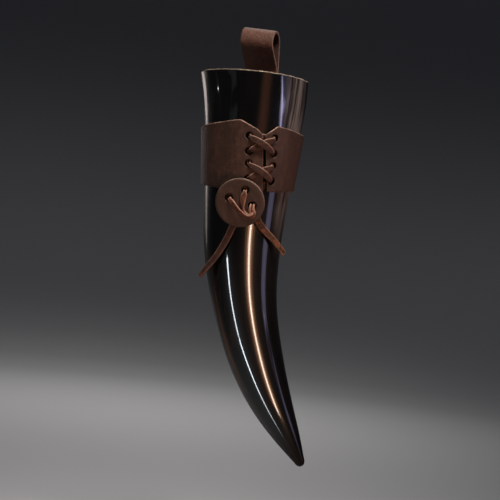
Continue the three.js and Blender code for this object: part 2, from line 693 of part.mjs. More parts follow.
// Middle between the two legs of the strap: flat along the band, then leaning back to the loop
function strapMiddle(z) {
  const low = Math.min(z, strapOff);
  const reach = strapLow + strapSlope * (low - STRAP_END) + strapStack;
  const p = radial(STRAP_AZIMUTH).multiplyScalar(reach);
  if (z > strapOff) {
    const span = LOOP_CLOSE - strapOff;
    const t = Math.min(1, (z - strapOff) / span);
    p.multiplyScalar((1 + 2 * t) * (1 - t) ** 2);
    p.addScaledVector(radial(STRAP_AZIMUTH), t * (1 - t) ** 2 * span * strapSlope);
    p.addScaledVector(loopClosing, t * t * (3 - 2 * t));
    p.x -= LOOP_LEAN * Math.max(0, (z - LOOP_CLOSE) / (loopCrown - LOOP_CLOSE));
  }
  p.z = z;
  return p;
}

// The strap turns from square to the band to square to the belt between the band and the loop
const strapFacing = (z) => radial(lerp(STRAP_AZIMUTH, 180, smoothstep(z, BAND_TOP, LOOP_CLOSE)));

// Above the closing the strap tilts, so that its loop hangs a little higher on the left
function strapStation(z, offset, width = STRAP_WIDTH) {
  const out = strapFacing(z);
  const across = out.clone().cross(UP);
  across.addScaledVector(UP, -Math.tan(rad(LOOP_TILT)) * smoothstep(z, LOOP_CLOSE, loopCrown)).normalize();
  return { at: strapMiddle(z).addScaledVector(out, offset), across, width };
}

// The back leg stays upright above the closing and the front leg bulges forward round the belt
function makeBeltLoop() {
  const foot = [[0, 0.76], [1.5, 0.92], [4, 1], [12, 1], [21, 1], [strapOff - STRAP_END, 1]];
  const leg = foot.map(([rise, share]) => ({ z: STRAP_END + rise, width: share * STRAP_WIDTH, open: 0 }));
  for (const f of [0.2, 0.45, 0.7, 0.88, 1]) {
    leg.push({ z: lerp(strapOff, LOOP_CLOSE, f), width: STRAP_WIDTH, open: 0 });
  }
  for (const f of [0.2, 0.4, 0.6, 0.8, 1]) {
    leg.push({ z: lerp(LOOP_CLOSE, loopCrown, f), width: STRAP_WIDTH, open: smoothstep(f, 0, 1) });
  }
  const frontOffset = (open) => -lerp(legOffset, loopOffset + LOOP_SET_BACK, open);
  const backOffset = (open) => lerp(legOffset, loopOffset - LOOP_SET_BACK, open);
  const front = leg.map(({ z, width, open }) => strapStation(z, frontOffset(open), width));
  const back = leg.map(({ z, width, open }) => strapStation(z, backOffset(open), width)).reverse();
  const crown = [30, 60, 90, 120, 150].map((a) => {
    const station = strapStation(loopCrown, -LOOP_SET_BACK - loopOffset * Math.cos(rad(a)));
    station.at.z += loopOffset * Math.sin(rad(a));
    return station;
  });
  const strap = thong([...front, ...crown, ...back], LEATHER, EDGE_ROUND, 2);
  const holes = Object.values(RIVET_HEIGHTS).map((height) => {
    const seat = rivetSeat(height);
    return rod(seat.at, seat.out, RIVET_SHAFT / 2 + CLEARANCE, LEATHER * 8, 16);
  });
  return cut(strap, holes);
}

// Rivets

// Where a rivet crosses the middle of the band's leather, square to the strap
function rivetSeat(z) {
  const lean = Math.atan(strapSlope);
  const out = radial(STRAP_AZIMUTH).addScaledVector(UP, -Math.tan(lean)).normalize();
  return { at: overBand(STRAP_AZIMUTH, z, 0), out };
}

// Height along a rivet of the strap's outer face, from the middle of the band's leather
const rivetGrip = LEATHER / 2 + CLEARANCE + 2 * LEATHER + STRAP_GAP;
const rivetReach = rivetGrip + 3 * CLEARANCE;

// A shaft with a flat head sunk into the inside of the band
function makeRivetPost(z) {
  const seat = rivetSeat(z);
  const low = CLEARANCE - LEATHER / 2;
  const neck = low + RIVET_HEAD_THICKNESS;
  const profile = [
    [0, low], [RIVET_HEAD / 2, low], [RIVET_HEAD / 2, neck],
    [RIVET_SHAFT / 2, neck], [RIVET_SHAFT / 2, rivetReach], [0, rivetReach],
  ];
  return turned(profile, seat.at, seat.out, 20);
}

// A domed cap with a socket over the end of the shaft
function makeRivetCap(z) {
  const seat = rivetSeat(z);
  const base = rivetGrip + CLEARANCE;
  const socket = RIVET_SHAFT / 2 + CLEARANCE;
  const profile = [
    [0, rivetReach + CLEARANCE], [socket, rivetReach + CLEARANCE], [socket, base],
    [RIVET_CAP / 2, base], [RIVET_CAP / 2, base + RIVET_CAP_RISE * 0.35],
    [RIVET_CAP * 0.36, base + RIVET_CAP_RISE * 0.8], [0, base + RIVET_CAP_RISE],
  ];
  return turned(profile, seat.at, seat.out, 20);
}

// Assembly: the origin is where the belt bears, inside the top of the loop

const bearing = loopMiddle.clone();
bearing.z = loopTop - LEATHER;
const holder = new THREE.Group();
holder.position.copy(bearing).negate();

function add(name, geometry, color, roughness, metalness = 0) {
  const material = new THREE.MeshStandardMaterial({ color, roughness, metalness });
  const mesh = new THREE.Mesh(geometry, material);
  mesh.name = name;
  holder.add(mesh);
}

const HORN_BLACK = 0x14100e;
const STRAP_BROWN = 0x463029;
const LACE_RUSSET = 0x7a4a33;
const RIVET_BRASS = 0x6d5a3c;

add('horn', makeHorn(), HORN_BLACK, 0.2);
add('holder_band', makeBand(), STRAP_BROWN, 0.6);
add('belt_loop', makeBeltLoop(), STRAP_BROWN, 0.6);
for (const [place, height] of Object.entries(RIVET_HEIGHTS)) {
  add(`${place}_rivet_post`, makeRivetPost(height), RIVET_BRASS, 0.4, 1);
  add(`${place}_rivet_cap`, makeRivetCap(height), RIVET_BRASS, 0.4, 1);
}
add('lace', makeLace(), LACE_RUSSET, 0.6);
add('lace_lock', makeLock(), STRAP_BROWN, 0.6);
add('lock_lace_left', makeLeftLockLace(), LACE_RUSSET, 0.6);
add('lock_lace_top', makeTopLockLace(), LACE_RUSSET, 0.6);
add('lace_tail_left', makeTail(tailLeftRoute, 3), LACE_RUSSET, 0.6);
add('lace_tail_right', makeTail(tailRightRoute, 2), LACE_RUSSET, 0.6);

const group = new THREE.Group();
group.add(holder);
export default group;
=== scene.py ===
"""A polished drinking horn that hangs from a belt in a laced leather holder, finished for rendering.

Metres, +Z up, in the part's own frame: the origin is where the belt bears, inside the top of the belt loop.
X runs along the belt and +Y points back at the wearer.
"""

import contextlib
import json
import math

import bpy
import numpy as np
from mathutils import Matrix, Vector, noise
from mathutils.kdtree import KDTree


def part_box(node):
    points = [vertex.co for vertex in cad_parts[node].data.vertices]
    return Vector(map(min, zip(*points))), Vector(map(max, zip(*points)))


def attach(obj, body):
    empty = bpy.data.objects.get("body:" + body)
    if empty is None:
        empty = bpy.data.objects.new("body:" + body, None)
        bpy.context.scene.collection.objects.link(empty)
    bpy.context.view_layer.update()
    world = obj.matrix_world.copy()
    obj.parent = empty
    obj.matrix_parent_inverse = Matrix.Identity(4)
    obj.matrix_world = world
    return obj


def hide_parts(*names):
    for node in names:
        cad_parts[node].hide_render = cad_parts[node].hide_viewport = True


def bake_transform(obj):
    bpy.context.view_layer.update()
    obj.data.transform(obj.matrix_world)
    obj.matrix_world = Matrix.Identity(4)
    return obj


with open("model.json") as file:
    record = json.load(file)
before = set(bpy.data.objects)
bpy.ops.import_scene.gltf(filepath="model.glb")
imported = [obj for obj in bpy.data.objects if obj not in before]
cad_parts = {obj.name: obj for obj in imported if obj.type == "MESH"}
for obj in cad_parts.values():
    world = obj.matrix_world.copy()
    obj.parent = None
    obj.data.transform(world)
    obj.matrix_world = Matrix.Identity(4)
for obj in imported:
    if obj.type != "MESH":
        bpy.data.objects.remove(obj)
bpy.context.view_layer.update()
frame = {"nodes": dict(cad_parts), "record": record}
bpy.ops.object.select_all(action="DESELECT")

MM = 0.001
TINY = 1e-12
UP = Vector((0, 0, 1))

# Horn: upright axis of its straight mouth end, then one even bend towards +X
HORN_AXIS = Vector((16.7, -50.0)) * MM
HORN_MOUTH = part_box("horn")[1].z
HORN_STRAIGHT = 101 * MM
HORN_BEND_RADIUS = 246 * MM
HORN_BEND_ANGLE = math.radians(33.5)
HORN_LENGTH = 277.8 * MM

# Ripples left by hand polish: their spacing round and along the horn, where they fade, and their height
RIPPLE_ROUND = 6 * MM
RIPPLE_ALONG = 20 * MM
RIPPLE_FADES = 90 * MM
RIPPLE_AT_MOUTH = 0.32 * MM
RIPPLE_BELOW = 0.025 * MM

# Zones of colour on the horn, laid out from a front that is turned this far towards +X
FRONT_TURN = math.radians(17)
# Two stripes at its mouth end, a brown one that is a painted reflection of the warm lamp and a grey one:
# where each starts, is full, fades and ends, to the right of the middle
BROWN_REFLECTION_STRIPE = (1.5 * MM, 5.8 * MM, 6.4 * MM, 11.4 * MM)
GREY_STRIPE = (18.5 * MM, 25 * MM, 31.5 * MM, 34.5 * MM)
# Where the other zones start and where they are full, along the horn from its mouth
MOUTH_END = (130 * MM, 70 * MM)
RUST_BELOW = (100 * MM, 160 * MM)
TIP = (HORN_LENGTH - 40 * MM, HORN_LENGTH - 4 * MM)
LIP = (1.0 * MM, 0.2 * MM)
# The rust keeps to the left side, where it starts and is full at these places from the middle
RUST_SIDE = (-9 * MM, -18 * MM)
# A step off the surface that tells the outside of the horn from its bore
BORE_PROBE = 0.1 * MM

# Leather: its thickness, and the fine net that rounds the edges of the band and the lock
LEATHER = 2.3 * MM
BAND_VOXEL = 0.51 * MM
BAND_ROUNDING = 4
LOCK_VOXEL = 0.35 * MM
LOCK_ROUNDING = 6
# The band's outer face at the front: how squarely it faces out, and how far it is in front of the axis
FACES_OUT = 0.9
BAND_FRONT = 15 * MM
# The lock's holes reach this far each way from its middle
LOCK_HOLE_REACH = 1.2 * MM

# How squarely a face looks out of the grain side: where a cut edge starts and is full, and where all is flesh
EDGE_TURN = (0.7, 0.45)
FLESH_TURN = -0.5
# Wear and painted light: a cut edge is rubbed pale, painted paler where it faces up and less pale where it
# faces down, as light from above would leave it, and the paleness runs on to the points beside it
TOP_LIGHT_PAINTED = 0.8
EDGE_RUB = 0.6
EDGE_RUB_LEAST = 0.15
EDGE_SPREAD = 0.8
# A hole's edge is kept dark this near to the lace, a painted shade in the hole, and the leather round it is
# darkened, grime and painted shade together
HOLE_DARK = (2 * MM, 3.6 * MM)
HOLE_GRIME_AND_SHADE = 4.5 * MM

# Belt loop: two legs riveted to the band, that lean back to a teardrop above the horn's mouth
STRAP_WIDTH = 25 * MM
STRAP_GAP = 0.4 * MM
STRAP_LEAVES_BAND = -85.5 * MM
STRAP_TURN_START = -79.5 * MM
LOOP_CLOSE = -29.7 * MM
LOOP_DEPTH = 21 * MM
LOOP_SET_BACK = 6.5 * MM
LOOP_LEAN = 1.4 * MM
LOOP_TILT = math.radians(4.5)
STRAP_END_ROUND = 4 * MM
STRAP_END_NARROWS = 0.24
STRAP_EDGE_ROUND = 0.5 * MM
# Its squares across, and its stations up a leg, up a side of the loop and over the crown
STRAP_COLUMNS = 10
LEG_STATIONS = 60
SIDE_STATIONS = 16
CROWN_STATIONS = 17

# Rivet caps: a socket for the post, then an outline over the rolled rim and the dome, in shares of the cap's
# radius and height
CAP_SOCKET = 1.9 * MM
CAP_SOCKET_DEPTH = 0.4
CAP_OUTLINE = (
    (0.9, 0.0), (0.99, 0.06), (1.0, 0.18), (0.98, 0.3), (0.92, 0.34),
    (0.88, 0.33), (0.8, 0.48), (0.64, 0.72), (0.42, 0.9), (0.2, 1.0),
)
CAP_SIDES = 40
CAP_CREASE = 40

# Lace: its tails go from behind the lock, over the horn and off it, on routes in millimetres
TAIL_LEFT_LENGTH = 52.3 * MM
TAIL_LEFT_ROUTE = (
    (23.80, -80.58, -140.09), (21.16, -80.22, -143.91), (18.47, -79.91, -147.49), (15.90, -79.60, -154.30),
    (12.40, -78.90, -161.30), (8.20, -77.70, -168.30), (3.00, -75.90, -174.90), (-3.90, -72.90, -183.10),
)
TAIL_RIGHT_LENGTH = 35.8 * MM
TAIL_RIGHT_ROUTE = (
    (34.87, -78.43, -139.76), (35.57, -77.67, -142.36), (38.50, -71.20, -147.70), (43.10, -65.30, -152.70),
    (46.70, -60.40, -157.50), (49.70, -55.80, -162.30),
)
# The edges of a lace's solid that are longer than this are halved before it is rounded
LACE_LONG_EDGE = 1.3 * MM
# A rounded lace's edge starts to show where its surface bends in the first radius, and is full in the second
LACE_EDGE_RADIUS = (2 * MM, 1 * MM)
# Lace edges: rubbed pale, and painted paler where they face up, as light from above would leave them
LACE_RUB = 0.4
LACE_RUB_LEAST = 0.1

# Camera: level, this many degrees right of the front, rolled so that the horn leans as it does in the photo
CAMERA_AZIMUTH = 17
CAMERA_ROLL = math.radians(5.7)
CAMERA_DISTANCE = 0.85
CAMERA_TARGET = Vector((22.723, -48.16, -161.9)) * MM
CAMERA_VIEW_WIDTH = 0.35
SENSOR = 36

# Studio
FLOOR_BELOW_TIP = 130 * MM
FLOOR_RADIUS = 1.6
COVE_RADIUS = 0.9
COVE_STEPS = 9
WALL_HEIGHT = 1.6
STUDIO_SIDES = 96

# Colours of the light
WORLD_LIGHT = (0.93, 0.96, 1.0, 1.0)
WORLD_STRENGTH = 0.17
WHITE_LIGHT = (1.0, 0.97, 0.93)
COOL_LIGHT = (0.86, 0.94, 1.0)
LAVENDER_LIGHT = (0.7, 0.64, 1.0)
WARM_LIGHT = (1.0, 0.84, 0.67)
AMBER_LIGHT = (1.0, 0.45, 0.24)
HAZE_LIGHT = (1.0, 0.42, 0.18)
RIM_LIGHT = (1.0, 0.88, 0.83)
EDGE_LIGHT = (1.0, 0.9, 0.8)

# Colours of the horn, the leather, the brass and the studio's paper
HORN_BLACK = (0.001, 0.0009, 0.0009)
HORN_STREAK = (0.0032, 0.0019, 0.0014)
# A painted reflection of the warm lamp, in brown
HORN_BROWN_REFLECTION = (0.0185, 0.0084, 0.0048)
HORN_RUST = (0.029, 0.011, 0.0043)
HORN_GREY = (0.1, 0.078, 0.068)
HORN_FIBRE = (0.008, 0.0055, 0.004)
HORN_TIP = (0.0055, 0.0024, 0.0013)
# The lip: raw horn, painted paler to stand in for the highlight along its rounded edge
HORN_LIP_AND_HIGHLIGHT = (0.26, 0.2, 0.14)
BORE_DARK = (0.04, 0.027, 0.018)
BORE_PALE = (0.13, 0.095, 0.064)
LEATHER_EDGE = (0.36, 0.215, 0.15)
LEATHER_FLESH = (0.06, 0.022, 0.011)
# The strap's flesh side: dark red-brown, darkened further as painted shade for the inside of the loop
STRAP_FLESH_AND_SHADE = (0.016, 0.0032, 0.0012)
BRASS_BRIGHT = (0.42, 0.27, 0.12)
BRASS_TARNISHED = (0.17, 0.1, 0.045)
PAPER_FLOOR = (0.5, 0.503, 0.515)
PAPER_WALL = (0.15, 0.154, 0.174)


# Camera

def direction(azimuth):
    """A level direction, in degrees from the front (-Y) towards +X."""
    turn = math.radians(azimuth)
    return Vector((math.sin(turn), -math.cos(turn), 0))


def make_camera():
    back = direction(CAMERA_AZIMUTH)
    right = UP.cross(back)
    x_axis = math.cos(CAMERA_ROLL) * right + math.sin(CAMERA_ROLL) * UP
    y_axis = math.cos(CAMERA_ROLL) * UP - math.sin(CAMERA_ROLL) * right
    data = bpy.data.cameras.new("camera")
    data.sensor_width = SENSOR
    data.lens = SENSOR * CAMERA_DISTANCE / CAMERA_VIEW_WIDTH
    camera = bpy.data.objects.new("camera", data)
    turn = Matrix((x_axis, y_axis, back)).transposed().to_4x4()
    camera.matrix_world = Matrix.Translation(CAMERA_TARGET + CAMERA_DISTANCE * back) @ turn
    bpy.context.scene.collection.objects.link(camera)
    bpy.context.scene.camera = camera


# Modelling helpers

def pick(piece):
    """Makes one piece the only one selected."""
    bpy.ops.object.select_all(action="DESELECT")
    bpy.context.view_layer.objects.active = piece
    piece.select_set(True)


@contextlib.contextmanager
def editing(piece, select="VERT", everything=True):
    """Edit mode on one piece, with everything in it selected or with the selection it had."""
    pick(piece)
    bpy.ops.object.mode_set(mode="EDIT")
    bpy.ops.mesh.select_mode(type=select)
    if everything:
        bpy.ops.mesh.select_all(action="SELECT")
    yield
    bpy.ops.object.mode_set(mode="OBJECT")


def added(name):
    """The primitive that was just added, under its own name."""
    piece = bpy.context.object
    piece.name = name
    piece.data.name = name
    return piece


def settle(piece):
    """Puts a piece's place into its mesh and leaves its object at the origin."""
    pick(piece)
    bpy.ops.object.transform_apply(location=True, rotation=True, scale=True)


def modify(piece, kind, **settings):
    """Adds a modifier and applies it at once."""
    pick(piece)
    modifier = piece.modifiers.new(kind.lower(), kind)
    for key, value in settings.items():
        setattr(modifier, key, value)
    bpy.ops.object.modifier_apply(modifier=modifier.name)


def smooth_out(piece, levels):
    modify(piece, "SUBSURF", levels=levels, render_levels=levels)


def shade(piece, crease=None):
    """Smooth shading, all over or up to a crease of so many degrees."""
    pick(piece)
    if crease is None:
        bpy.ops.object.shade_smooth()
    else:
        bpy.ops.object.shade_smooth_by_angle(angle=math.radians(crease))


def round_edges(piece, voxel, rounding):
    """Rounds a piece's edges: a fine even net over it, smoothed so many times."""
    modify(piece, "REMESH", mode="VOXEL", voxel_size=voxel)
    modify(piece, "SMOOTH", factor=0.5, iterations=rounding)
    shade(piece)


def copy_of(node, name):
    """A new piece from a node of the frame, with its loose triangles joined."""
    piece = bpy.data.objects.new(name, frame["nodes"][node].data.copy())
    piece.data.name = name
    piece.data.materials.clear()
    bpy.context.scene.collection.objects.link(piece)
    with editing(piece):
        bpy.ops.mesh.remove_doubles(threshold=0.001 * MM)
    return piece


def to_quads(piece):
    with editing(piece):
        bpy.ops.mesh.tris_convert_to_quads(face_threshold=1.2, shape_threshold=1.2)


def face_outwards(piece):
    with editing(piece):
        bpy.ops.mesh.normals_make_consistent(inside=False)


def points_of(piece):
    co = np.empty(len(piece.data.vertices) * 3)
    piece.data.vertices.foreach_get("co", co)
    return co.reshape(-1, 3)


def normals_of(piece):
    found = np.empty(len(piece.data.vertices) * 3)
    piece.data.vertices.foreach_get("normal", found)
    return found.reshape(-1, 3)


def edges_of(piece):
    """The numbers of the points at the first and at the second end of every edge."""
    ends = np.empty(len(piece.data.edges) * 2, np.int32)
    piece.data.edges.foreach_get("vertices", ends)
    return ends.reshape(-1, 2).T


def move_points(piece, co):
    piece.data.vertices.foreach_set("co", np.asarray(co, float).ravel())
    piece.data.update()


def mark(piece, name, values):
    """Stores a number, or a vector, at each point of a piece for its material to read."""
    values = np.asarray(values, np.float32)
    kind, field = ("FLOAT_VECTOR", "vector") if values.ndim == 2 else ("FLOAT", "value")
    attribute = piece.data.attributes.get(name) or piece.data.attributes.new(name, kind, "POINT")
    attribute.data.foreach_set(field, values.ravel())


def marked(piece, name):
    """A vector at each point of a piece, as mark stored it."""
    found = np.empty(len(piece.data.vertices) * 3, np.float32)
    piece.data.attributes[name].data.foreach_get("vector", found)
    return found.reshape(-1, 3)


def unit(vectors):
    return vectors / np.maximum(np.linalg.norm(vectors, axis=1, keepdims=True), TINY)


def dots(first, second):
    """The dot product of each vector of the first list with its partner in the second."""
    return np.einsum("ij,ij->i", first, second)


def fade(values, start, end):
    """0 up to start, 1 from end on and even between them."""
    return np.clip((values - start) / (end - start), 0, 1)


def smoothstep(t):
    t = min(max(t, 0.0), 1.0)
    return t * t * (3 - 2 * t)


def spread(piece, values, rounds, keep):
    """Lets a value at each point run on to the points beside it."""
    first, second = edges_of(piece)
    for _ in range(rounds):
        wider = values.copy()
        np.maximum.at(wider, first, keep * values[second])
        np.maximum.at(wider, second, keep * values[first])
        values = wider
    return values


def rubbed(piece, level, least):
    """How pale each point's edge is: level on an upright face, from rubbing, and paler where it faces up and
    less pale where it faces down, which is painted light from above.
    """
    return np.clip(level + TOP_LIGHT_PAINTED * normals_of(piece)[:, 2], least, 1)


def clearance(piece, places):
    """How far each point of a piece is from the nearest of some places."""
    tree = KDTree(len(places))
    for i, place in enumerate(places):
        tree.insert(place, i)
    tree.balance()
    return np.array([tree.find(point)[2] for point in points_of(piece)])


def mark_leather(piece, outward, edge_rounds, threaded=()):
    """Marks the cut edges, painted paler where they face up, and the flesh side of a leather piece.

    outward is the direction that the grain side faces at each point. Holes round threaded points keep dark
    edges, a painted shade, and the leather round them is darkened, grime and painted shade together.
    """
    facing = dots(normals_of(piece), outward)
    # Cut edges, paler where they face up: painted light from above
    edge = fade(np.abs(facing), *EDGE_TURN) * rubbed(piece, EDGE_RUB, EDGE_RUB_LEAST)
    cut = spread(piece, edge, edge_rounds, EDGE_SPREAD)
    # Near the lace, pale edges are held back and the leather is darkened: painted shade, with some grime
    if len(threaded):
        clear = clearance(piece, threaded)
        cut *= fade(clear, *HOLE_DARK)
        mark(piece, "worn", fade(clear, HOLE_GRIME_AND_SHADE, 0))
    mark(piece, "cut", cut)
    mark(piece, "flesh", fade(facing, 0, FLESH_TURN))


# Material helpers

class Socket:
    """An output of a shader node. Sums and products with it add Math nodes."""

    def __init__(self, finish, output):
        self.finish = finish
        self.output = output

    def math(self, operation, first, second):
        return self.finish.node("ShaderNodeMath", {"operation": operation}, {0: first, 1: second})

    def __add__(self, other):
        return self.math("ADD", self, other)

    def __radd__(self, other):
        return self.math("ADD", other, self)

    def __sub__(self, other):
        return self.math("SUBTRACT", self, other)

    def __rsub__(self, other):
        return self.math("SUBTRACT", other, self)

    def __mul__(self, other):
        return self.math("MULTIPLY", self, other)

    def __rmul__(self, other):
        return self.math("MULTIPLY", other, self)

    def between(self, low, high, start=0.0, end=1.0):
        """Eased from start to end as the value goes from low to high."""
        settings = {"interpolation_type": "SMOOTHSTEP"}
        limits = {"Value": self, "From Min": low, "From Max": high, "To Min": start, "To Max": end}
        return self.finish.node("ShaderNodeMapRange", settings, limits)

    def stripe(self, starts, full, fades, ends):
        """1 while the value is between full and fades, and eased to 0 at starts and ends."""
        return self.between(starts, full) * self.between(ends, fades)


class Finish:
    """A material whose nodes are added by expressions."""

    def __init__(self, name):
        self.material = bpy.data.materials.new(name)
        self.material.use_nodes = True
        self.tree = self.material.node_tree
        self.shader = next(n for n in self.tree.nodes if n.type == "BSDF_PRINCIPLED")

    def put(self, target, value):
        """Links a socket, or sets a number, vector or colour on it."""
        if isinstance(value, Socket):
            self.tree.links.new(value.output, target)
        elif isinstance(value, tuple) and len(target.default_value) == len(value) + 1:
            target.default_value = (*value, 1.0)
        else:
            target.default_value = value

    def node(self, kind, settings, inputs, output=None):
        """Adds a node: its settings first, then the values or links of its sockets."""
        made = self.tree.nodes.new(kind)
        for key, value in settings.items():
            setattr(made, key, value)
        for key, value in inputs.items():
            by_name = (s for s in made.inputs if s.enabled and s.name == key)
            self.put(made.inputs[key] if isinstance(key, int) else next(by_name), value)
        outputs = (s for s in made.outputs if s.enabled and output in (None, s.name))
        return Socket(self, next(outputs))

    def place(self):
        return self.node("ShaderNodeTexCoord", {}, {}, "Object")

    def attribute(self, name, output="Fac"):
        return self.node("ShaderNodeAttribute", {"attribute_name": name}, {}, output)

    def drawn_out(self, vector, squeeze):
        """A place squeezed along Z, so that a pattern on it is drawn out along Z."""
        return self.node("ShaderNodeVectorMath", {"operation": "MULTIPLY"}, {0: vector, 1: (1, 1, squeeze)})

    def noise(self, vector, scale, detail, roughness, distortion=0.0):
        inputs = {"Vector": vector, "Scale": scale, "Detail": detail, "Roughness": roughness}
        return self.node("ShaderNodeTexNoise", {}, {**inputs, "Distortion": distortion}, "Fac")

    def cells(self, vector, scale):
        inputs = {"Vector": vector, "Scale": scale}
        return self.node("ShaderNodeTexVoronoi", {"feature": "SMOOTH_F1"}, inputs, "Distance")

    def mix(self, factor, first, second):
        settings = {"data_type": "RGBA", "blend_type": "MIX", "clamp_factor": True}
        return self.node("ShaderNodeMix", settings, {"Factor": factor, "A": first, "B": second}, "Result")

    def part(self, vector, axis):
        return self.node("ShaderNodeSeparateXYZ", {}, {"Vector": vector}, axis)

    def bump(self, height, distance, strength):
        inputs = {"Height": height, "Distance": distance, "Strength": strength}
        return self.node("ShaderNodeBump", {}, inputs, "Normal")

    def surface(self, **values):
        """Sets the shader's sockets; an underscore stands for the space in a socket's name."""
        for key, value in values.items():
            self.put(self.shader.inputs[key.replace("_", " ")], value)
        return self.material


# Finishes

def shades(tone, *levels):
    """Darker and paler versions of a colour."""
    return [tuple(level * c for c in tone) for level in levels]


def leather_finish(name, tone, flesh, edge_wear, sheen, pore_scale, grain_depth):
    """Vegetable tanned leather: fine grain, cloudy dye, paler cut edges painted paler still where they face
    up, darkening round the lace's holes that is grime and painted shade, and a rougher flesh side.
    """
    f = Finish(name)
    here = f.place()
    cut = f.attribute("cut")
    inner = f.attribute("flesh")
    worn = f.attribute("worn")
    clouds = f.noise(here, scale=38, detail=4, roughness=0.55)
    mottle = f.noise(here, scale=260, detail=3, roughness=0.6)
    pores = f.cells(here, scale=pore_scale)
    creases = f.noise(here, scale=640, detail=4, roughness=0.65, distortion=0.4)
    fibres = f.noise(here, scale=900, detail=3, roughness=0.7)
    darkest_tone, dark, light = shades(tone, 0.3, 0.66, 1.6)
    dye = f.mix(clouds.between(0.3, 0.7), dark, tone)
    dye = f.mix(mottle.between(0.42, 0.72, end=0.62), dye, light)
    dye = f.mix(pores.between(0.05, 0.5, start=0.45, end=0.0), dye, dark)
    dye = f.mix(inner * 0.85, dye, flesh)
    # Darker round the lace's holes: grime and painted shade
    dye = f.mix(worn * 0.6, dye, darkest_tone)
    edge = f.mix(fibres.between(0.3, 0.7), *shades(LEATHER_EDGE, 0.45, 1.0))
    # Pale cut edges: worn pale, with a painted highlight where they face up
    bared_and_top_lit = cut * mottle.between(0.25, 0.55, start=0.37 * edge_wear, end=edge_wear)
    grain = pores * 0.55 + creases * 0.6 + clouds * 0.5
    return f.surface(
        Base_Color=f.mix(bared_and_top_lit, dye, edge),
        Roughness=0.5 + 0.16 * mottle + 0.16 * inner + 0.12 * cut,
        Specular_IOR_Level=sheen,
        Normal=f.bump(grain, distance=grain_depth, strength=0.9),
    )


def lace_finish(name, tone, pale, nap):
    """A thong cut from oiled russet leather, with slightly paler edges, painted paler still where they face
    up. nap is how fuzzy its face is.
    """
    f = Finish(name)
    here = f.place()
    cut = f.attribute("cut")
    clouds = f.noise(here, scale=130, detail=3, roughness=0.6)
    wrinkles = f.noise(here, scale=330, detail=3, roughness=0.6, distortion=0.6)
    fibres = f.noise(here, scale=560, detail=4, roughness=0.7)
    stains = f.noise(here, scale=480, detail=2, roughness=0.5)
    darkest_tone, dark, light = shades(tone, 0.25, 0.4, 1.7)
    dye = f.mix(clouds.between(0.3, 0.7), dark, tone)
    dye = f.mix(wrinkles.between(0.52, 0.36, end=0.7), dye, dark)
    dye = f.mix(fibres.between(0.48, 0.7, end=nap), dye, light)
    dye = f.mix(stains.between(0.55, 0.42, end=nap * nap), dye, darkest_tone)
    # Pale edges: worn pale, with a painted highlight where they face up
    bared_and_top_lit = cut * fibres.between(0.3, 0.6, start=0.45)
    return f.surface(
        Base_Color=f.mix(bared_and_top_lit, dye, pale),
        Roughness=0.5 + 0.2 * fibres,
        Specular_IOR_Level=0.16,
        Normal=f.bump(fibres * nap + wrinkles + clouds, distance=0.3 * MM, strength=0.9),
    )


def horn_finish():
    """Polished natural horn: near black, with brown and grey fibres along it, a brown stripe near the mouth
    that is a painted reflection, a paler lip that is partly a painted highlight, and a raw bore.
    """
    f = Finish("polished_horn")
    straight = f.attribute("straight", "Vector")
    bore = f.attribute("bore")
    along = f.part(straight, "Z")
    right = f.part(straight, "X") * math.cos(FRONT_TURN) + f.part(straight, "Y") * math.sin(FRONT_TURN)
    streaks = f.noise(f.drawn_out(straight, 0.055), scale=62, detail=4, roughness=0.55, distortion=0.3)
    fibres = f.noise(f.drawn_out(straight, 0.03), scale=420, detail=3, roughness=0.6)
    strands = f.noise(f.drawn_out(straight, 0.035), scale=190, detail=3, roughness=0.6, distortion=0.5)
    clouded = f.noise(f.drawn_out(straight, 0.07), scale=105, detail=4, roughness=0.65, distortion=1.4)
    smoke = f.noise(straight, scale=30, detail=3, roughness=0.6)
    mouth_end = along.between(*MOUTH_END)
    lip = along.between(*LIP)
    tip = along.between(*TIP)
    # A brown stripe near the mouth: a painted reflection of the warm lamp
    brown = right.stripe(*BROWN_REFLECTION_STRIPE) * mouth_end * strands.between(0.2, 0.55, start=0.6)
    grey = right.stripe(*GREY_STRIPE) * mouth_end * clouded.between(0.38, 0.66)
    rusty = right.between(*RUST_SIDE) * along.between(*RUST_BELOW)
    rust = rusty * clouded.between(0.5, 0.68) * smoke.between(0.3, 0.6)
    colour = f.mix(streaks.between(0.5, 0.72), HORN_BLACK, HORN_STREAK)
    colour = f.mix(brown, colour, HORN_BROWN_REFLECTION)
    colour = f.mix(rust, colour, HORN_RUST)
    colour = f.mix(grey, colour, HORN_GREY)
    colour = f.mix(fibres.between(0.58, 0.8, end=0.25), colour, HORN_FIBRE)
    colour = f.mix(tip * strands.between(0.35, 0.65, end=0.6), colour, HORN_TIP)
    # Paler lip: raw horn and a painted highlight
    colour = f.mix(lip * fibres.between(0.3, 0.66, start=0.3), colour, HORN_LIP_AND_HIGHLIGHT)
    raw = f.mix(fibres, BORE_DARK, BORE_PALE)
    return f.surface(
        Base_Color=f.mix(bore * (1 - lip), colour, raw),
        Roughness=0.3 + 0.1 * fibres + 0.06 * smoke + 0.3 * bore + 0.1 * lip,
        Specular_IOR_Level=0.06,
        Coat_Weight=0.2 * (1 - bore) * (1 - 0.6 * lip) * (1 - 0.85 * tip),
        Coat_Roughness=0.07,
        Coat_IOR=2.2,
        Normal=f.bump(fibres * 0.5 + streaks + bore * fibres * 6, distance=0.03 * MM, strength=0.35),
    )


